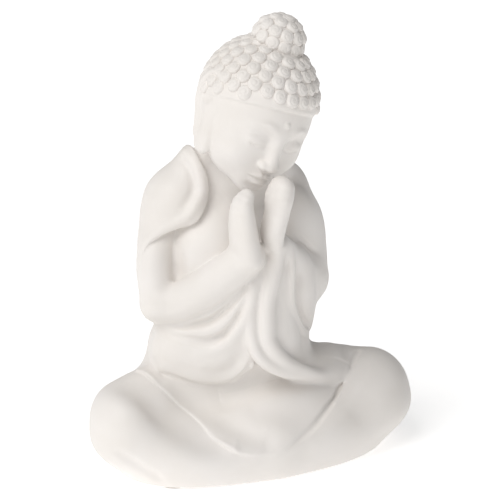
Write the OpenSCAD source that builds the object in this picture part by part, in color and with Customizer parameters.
// Seated praying figure: an assembly of hollow and solid ceramic castings, luted together.
// The figure faces -Y, its left side is +X, and it stands on the plane z = 0.

/* [Seat] */
// Span across the outsides of the knees
knee_span = 226; // [214:1:236]
// Height of the knees' centres
knee_z = 41; // [38:1:44]
// Radius of a knee
knee_r = 25; // [23:1:27]
// Half width of the footprint on the table
foot_half_w = 86; // [80:1:90]
// Half depth of the footprint on the table
foot_half_d = 50; // [46:1:54]

/* [Torso and arms] */
// Half width across the shoulders' centres
shoulder_half_w = 32; // [30:1:35]
// Height of the shoulders' centres
shoulder_z = 166; // [162:1:170]
// Radius of the bare upper arm
arm_r = 13; // [11:0.5:14]
// Radius of the wrist
wrist_r = 10.5; // [8:0.5:11]
// Thickness of the shoulder cape over the body
cloth_t = 4; // [3:0.5:6]

/* [Head] */
// Width of the skull under the hair
skull_w = 67; // [62:1:70]
// Sideways tilt of the head, in degrees
head_tilt = 17; // [5:1:20]
// Forward bow of the head, in degrees
head_bow = 20; // [10:1:25]
// Turn of the head to the figure's left, in degrees
head_turn = 8; // [0:1:12]
// Thickness of the hair cap
hair_t = 2.5; // [2:0.25:4]
// Diameter of a snail curl at its foot
curl_d = 7.4; // [6:0.2:7.6]
// Height of a snail curl
curl_h = 2.6; // [1.5:0.1:4]

/* [Base] */
// Wall thickness of the hollow castings
wall = 6; // [5:0.5:8]
// Thickness of the slab that closes the seat
plate_t = 6; // [5:0.5:8]
// Diameter of the firing vent in the slab
vent_d = 18; // [12:1:24]
// Diameter of a felt pad
pad_d = 18; // [14:1:20]
// Thickness of a felt pad
pad_t = 2; // [1.5:0.5:3]

/* [Hidden] */

glaze = "whitesmoke";
felt = "linen";
limb_fn = 24;
fine_fn = 20;
roll_fn = 14;
joint_gap = 0.02; // slip layer between two luted pieces
big = 400;

// Seat
knee_x = knee_span / 2 - knee_r;
foot_fn = 64;
pad_x = foot_half_w - wall - pad_d;
pad_y = foot_half_d - wall - pad_d;

// Skull, in the head's own frame: origin at the skull's centre, face towards -Y
skull_pos = [7, -8, 237];
skull = [skull_w / 2, skull_w / 2 + 4, skull_w / 2 + 3.5];
hair = [for (r = skull) r + hair_t];
hairline_tilt = 24;
hairline_z = -3;
knot_pos = [-1.5, 10, skull[2] + 2.5];
knot = [17, 17, 15];
row_step = 11.5;
row_first = 26;

// Limbs, as [x, y, z, radius] stations
right_shoulder = [-shoulder_half_w - 9, 24, shoulder_z + 3, arm_r + 4];
right_upper_arm = [-56, 9, 138, arm_r + 0.5];
right_elbow = [-58, -2, 110, arm_r];
right_wrist = [-16, -37, 147, wrist_r];
left_shoulder = [shoulder_half_w + 5, 21, shoulder_z, 18];
left_elbow = [42, 2, 117, 17];
left_wrist = [5, -35, 149, wrist_r - 1];
foot_power = 2.5; // 2 would be an ellipse

function grown(s, g) = [s[0], s[1], s[2], s[3] + g];
function bent(v) = sign(v) * pow(abs(v), 2 / foot_power);
function on_foot(a, b, t) = [a * bent(cos(t)), b * bent(sin(t))];

module ball(s, fn = limb_fn) {
    translate([s[0], s[1], s[2]]) sphere(s[3], $fn = fn);
}

module limb(stations, g = 0, fn = limb_fn) {
    for (i = [0:len(stations) - 2])
        hull() {
            ball(grown(stations[i], g), fn);
            ball(grown(stations[i + 1], g), fn);
        }
}

module egg(p, radii, g = 0, fn = limb_fn) {
    translate(p) scale([for (r = radii) r + g]) sphere(1, $fn = fn);
}

// A node made of many soft forms comes out as one mesh
module one_mesh() {
    resize([0, 0, 0]) children();
}

module above_table(z = pad_t) {
    intersection() {
        children();
        translate([-big / 2, -big / 2, z]) cube(big);
    }
}

module in_head() {
    translate(skull_pos) rotate([head_bow, head_tilt, head_turn]) children();
}

// ---- Forms: the outer shape of each casting, grown by g ----

module foot_outline(g = 0) {
    polygon([for (i = [0:foot_fn - 1]) on_foot(foot_half_w + g, foot_half_d + g, 360 * i / foot_fn)]);
}

module legs_form(g = 0) {
    above_table(pad_t) {
        for (s = [-1, 1]) {
            limb([[s * 26, 24, 38, 29], [s * knee_x, -6, knee_z - 2 * s, knee_r]], g);
            limb([[s * (knee_x - 2), -12, knee_z - 7 - 2 * s, knee_r - 1], [s * 4, -38, 18, 17]], g);
        }
        egg([0, 22, 36], [60, 34, 36], g);
        hull() {
            translate([0, 0, pad_t - 1]) linear_extrude(3) foot_outline(g);
            egg([0, -4, 32], [94, 44, 12], g);
        }
    }
}

module torso_form(g = 0) {
    hull() {
        egg([-4, 22, 72], [55, 33, 22], g);
        egg([-4, 20, 116], [46, 31, 20], g);
    }
    hull() {
        egg([-4, 20, 116], [46, 31, 20], g);
        for (s = [-1, 1]) ball([s * shoulder_half_w, 22, shoulder_z, 20 + g]);
    }
    hull() {
        for (s = [-1, 1]) ball([s * shoulder_half_w, 22, shoulder_z, 20 + g]);
        ball([-2, 18, shoulder_z + 14, 20 + g]);
    }
}

module neck_form(g = 0) {
    limb([[-3, 18, 172, 20], [2, 0, 202, 18]], g);
}

module head_form(g = 0) {
    in_head() {
        hull() {
            egg([0, 3, 0], skull, g);
            egg([0, -6, -18], [29, 27, 24], g);
        }
        hull() {
            egg([0, -6, -18], [29, 27, 24], g);
            egg([0, -17, -40], [15, 13, 11], g, fine_fn);
        }
    }
}

module face_relief() {
    in_head() {
        hull() {
            egg([0, -31.5, -5], [3, 4, 4], 0, fine_fn);
            egg([0, -34, -20], [4.5, 5, 4], 0, fine_fn);
        }
        for (s = [-1, 1]) {
            egg([s * 13, -28, -7], [8, 5, 4], 0, fine_fn);
        }
        egg([0, -29.5, -30], [9, 4, 3.5], 0, fine_fn);
    }
}

module cap_form(g = 0) {
    in_head() intersection() {
        egg([0, 3, 0], hair, g, 40);
        rotate([-hairline_tilt, 0, 0]) translate([-big / 2, -big / 2, hairline_z]) cube(big);
    }
}

module knot_form(g = 0) {
    in_head() egg(knot_pos, knot, g);
}

module ear_form(s) {
    in_head() hull() {
        egg([s * 31, 2, -4], [4, 8, 9], 0, fine_fn);
        egg([s * 28, -1, -30], [4, 5, 8], 0, fine_fn);
    }
}

module right_arm_form(g = 0) {
    limb([right_shoulder, right_upper_arm, right_elbow, right_wrist], g);
}

module left_arm_form(g = 0) {
    limb([left_shoulder, left_elbow, left_wrist], g);
}

module right_hand_form(g = 0) {
    hull() {
        egg([-18, -38, 152], [8, 12, 8], g, fine_fn);
        egg([-22, -42, 175], [6.5, 11, 8], g, fine_fn);
        egg([-20, -43, 188], [4.5, 8, 6], g, fine_fn);
    }
}

module left_hand_form(g = 0) {
    hull() {
        egg([-1, -40, 157], [7, 11, 8], g, fine_fn);
        egg([2, -43, 174], [7, 11, 7], g, fine_fn);
    }
    hull() {
        egg([2, -43, 174], [7, 11, 7], g, fine_fn);
        egg([4, -43, 188], [8, 9, 6], g, fine_fn);
    }
}

module cape_form(g = 0) {
    hull() {
        ball([-22, 22, 192, 12 + g]);
        ball(grown(right_shoulder, cloth_t + g));
        ball([-30, 8, 178, 8 + g]);
    }
    hull() {
        ball(grown(right_shoulder, cloth_t + g));
        ball([-36, 4, 168, 8 + g]);
        ball([-54, 12, 148, arm_r + cloth_t + g]);
    }
}

module sleeve_form(g = 0) {
    hull() {
        ball([40, 0, 114, 17 + g]);
        ball([37, -4, 98, 14 + g]);
        ball([34, -6, 85, 7 + g]);
    }
    hull() {
        ball([38, -6, 120, 8 + g]);
        ball([20, -24, 138, 3 + g], roll_fn);
        ball([22, -22, 106, 3 + g], roll_fn);
        ball([30, -13, 88, 4 + g], roll_fn);
    }
}

module tail_form(g = 0) {
    egg([12, -20, 100], [20, 18, 40], g);
    limb([[7, -38, 152, 4], [0, -37, 126, 6.5], [-2, -36, 100, 7], [5, -37, 79, 7], [24, -29, 67, 6.5],
          [52, -15, 62, 4]], g, roll_fn);
    limb([[-7, -32, 138, 4], [-12, -34, 108, 5.5], [-12, -37, 84, 5.5], [5, -36, 66, 5], [36, -24, 56, 4.5],
          [56, -13, 59, 3]], g, roll_fn);
}

module belly_form(g = 0) {
    egg([-22, 2, 82], [44, 29, 24], g);
    limb([[-58, -6, 99, 4], [-40, -19, 94, 5], [-20, -24, 101, 5]], g, roll_fn);
    limb([[-56, -4, 86, 4], [-36, -20, 82, 5], [-14, -26, 92, 6]], g, roll_fn);
}

module lap_form() {
    difference() {
        hull() {
            for (s = [-1, 1]) {
                ball([s * 66, -8, 57, 9]);
                ball([s * 44, -35, 38, 8]);
                ball([s * 20, -47, 27, 8]);
            }
            egg([0, 14, 56], [52, 12, 12]);
        }
        egg([0, -30, 84], [58, 38, 34]);
    }
}

module cavity() {
    legs_form(-wall);
    torso_form(-wall);
    neck_form(-wall);
    head_form(-wall);
    translate([0, 0, pad_t - 1]) linear_extrude(plate_t + 1) foot_outline(-wall);
}

// ---- Castings: each is its form less the pieces it is luted to ----

module felt_pad(i) {
    color(felt)
        translate([i < 2 ? -pad_x : pad_x, i % 2 == 0 ? -pad_y : pad_y, 0])
            cylinder(h = pad_t, d = pad_d, $fn = 48);
}

module base_plate() {
    color(glaze) difference() {
        translate([0, 0, pad_t]) linear_extrude(plate_t) foot_outline(-wall - joint_gap);
        translate([0, 0, -1]) cylinder(h = pad_t + plate_t + 2, d = vent_d, $fn = 64);
    }
}

module legs() {
    color(glaze) one_mesh() difference() {
        legs_form();
        cavity();
    }
}

module lap_cloth() {
    color(glaze) one_mesh() difference() {
        lap_form();
        legs_form(joint_gap);
        torso_form(joint_gap);
        belly_form(joint_gap);
        tail_form(joint_gap);
    }
}

module torso() {
    color(glaze) one_mesh() difference() {
        torso_form();
        legs_form(joint_gap);
        cavity();
    }
}

module neck() {
    color(glaze) one_mesh() difference() {
        neck_form();
        torso_form(joint_gap);
        cavity();
    }
}

module head() {
    color(glaze) one_mesh() difference() {
        union() {
            head_form();
            face_relief();
        }
        neck_form(joint_gap);
        torso_form(joint_gap);
        cavity();
    }
}

module ear(s) {
    color(glaze) one_mesh() difference() {
        ear_form(s);
        head_form(joint_gap);
        cap_form(joint_gap);
        neck_form(joint_gap);
    }
}

module forehead_dot() {
    color(glaze) one_mesh() difference() {
        in_head() egg([0, -35.5, 6], [2, 2.5, 2], 0, 16);
        head_form(joint_gap);
    }
}

module hair_cap() {
    color(glaze) one_mesh() difference() {
        cap_form();
        head_form(joint_gap);
    }
}

module hair_knot() {
    color(glaze) one_mesh() difference() {
        knot_form();
        cap_form(joint_gap);
        head_form(joint_gap);
    }
}

// A snail curl standing on an ellipsoid, at polar angle phi from its top and at azimuth theta
module curl_on(centre, radii, phi, theta) {
    unit = [sin(phi) * cos(theta), sin(phi) * sin(theta), cos(phi)];
    p = [for (k = [0:2]) centre[k] + radii[k] * unit[k]];
    n = [for (k = [0:2]) unit[k] / radii[k]];
    translate(p)
        rotate([0, acos(n[2] / norm(n)), atan2(n[1], n[0])])
            translate([0, 0, 0.05]) cylinder(h = curl_h, d1 = curl_d, d2 = 0.45 * curl_d, $fn = 24);
}

function row_phi(i) = row_first + (i - 1) * row_step;
function row_n(i) = floor(360 / (2 * asin((curl_d / 2 + 0.15) / (hair[0] * sin(row_phi(i))))));
function above_hairline(phi, theta) =
    let (y = hair[1] * sin(phi) * sin(theta) + 3, z = hair[2] * cos(phi))
    z * cos(hairline_tilt) + y * sin(hairline_tilt) > hairline_z + curl_d / 2 - 0.5;

module curl_row(i) {
    n = row_n(i);
    color(glaze) in_head() for (k = [0:n - 1]) {
        theta = 360 * (k + (i % 2) / 2) / n;
        if (above_hairline(row_phi(i), theta)) curl_on([0, 3, 0], hair, row_phi(i), theta);
    }
}

module knot_curls() {
    rows = [[24, 5], [52, 10], [80, 13]];
    color(glaze) in_head() {
        curl_on(knot_pos, knot, 0, 0);
        for (row = rows)
            for (k = [0:row[1] - 1]) curl_on(knot_pos, knot, row[0], 360 * (k + row[0] / 56) / row[1]);
    }
}

module right_arm() {
    color(glaze) one_mesh() difference() {
        right_arm_form();
        torso_form(joint_gap);
        legs_form(joint_gap);
    }
}

module right_hand() {
    color(glaze) one_mesh() difference() {
        right_hand_form();
        right_arm_form(joint_gap);
        torso_form(joint_gap);
        head_form(joint_gap);
        left_hand_form(1);
    }
}

module right_thumb() {
    color(glaze) one_mesh() difference() {
        limb([[-20, -31, 158, 4.5], [-21, -30, 172, 4]], 0, fine_fn);
        right_hand_form(joint_gap);
        right_arm_form(joint_gap);
        torso_form(joint_gap);
    }
}

module shoulder_cape() {
    color(glaze) one_mesh() difference() {
        cape_form();
        torso_form(joint_gap);
        right_arm_form(joint_gap);
        neck_form(joint_gap);
        head_form(joint_gap);
        ear_form(-1);
    }
}

module left_arm() {
    color(glaze) one_mesh() difference() {
        left_arm_form();
        torso_form(joint_gap);
        legs_form(joint_gap);
    }
}

module left_hand() {
    color(glaze) one_mesh() difference() {
        left_hand_form();
        left_arm_form(joint_gap);
        torso_form(joint_gap);
        head_form(joint_gap);
    }
}

module left_thumb() {
    color(glaze) one_mesh() difference() {
        limb([[0, -31, 164, 4.5], [1, -31, 180, 4]], 0, fine_fn);
        left_hand_form(joint_gap);
        left_arm_form(joint_gap);
        torso_form(joint_gap);
        head_form(joint_gap);
    }
}

module left_sleeve() {
    color(glaze) one_mesh() difference() {
        sleeve_form();
        left_arm_form(joint_gap);
        torso_form(joint_gap);
        legs_form(joint_gap);
    }
}

module robe_tail() {
    color(glaze) one_mesh() difference() {
        tail_form();
        left_arm_form(joint_gap);
        left_hand_form(joint_gap);
        right_hand_form(joint_gap);
        right_arm_form(joint_gap);
        torso_form(joint_gap);
        legs_form(joint_gap);
        sleeve_form(joint_gap);
    }
}

module belly_folds() {
    color(glaze) one_mesh() difference() {
        belly_form();
        right_arm_form(joint_gap);
        torso_form(joint_gap);
        legs_form(joint_gap);
        tail_form(joint_gap);
    }
}

felt_pad(0);  // felt_pad_1
felt_pad(1);  // felt_pad_2
felt_pad(2);  // felt_pad_3
felt_pad(3);  // felt_pad_4
base_plate();
legs();
lap_cloth();
torso();
neck();
head();
ear(-1);  // right_ear
ear(1);  // left_ear
forehead_dot();
hair_cap();
hair_knot();
knot_curls();
curl_row(1);  // curl_row_1
curl_row(2);  // curl_row_2
curl_row(3);  // curl_row_3
curl_row(4);  // curl_row_4
curl_row(5);  // curl_row_5
curl_row(6);  // curl_row_6
curl_row(7);  // curl_row_7
curl_row(8);  // curl_row_8
right_arm();
right_hand();
right_thumb();
shoulder_cape();
left_arm();
left_hand();
left_thumb();
left_sleeve();
robe_tail();
belly_folds();
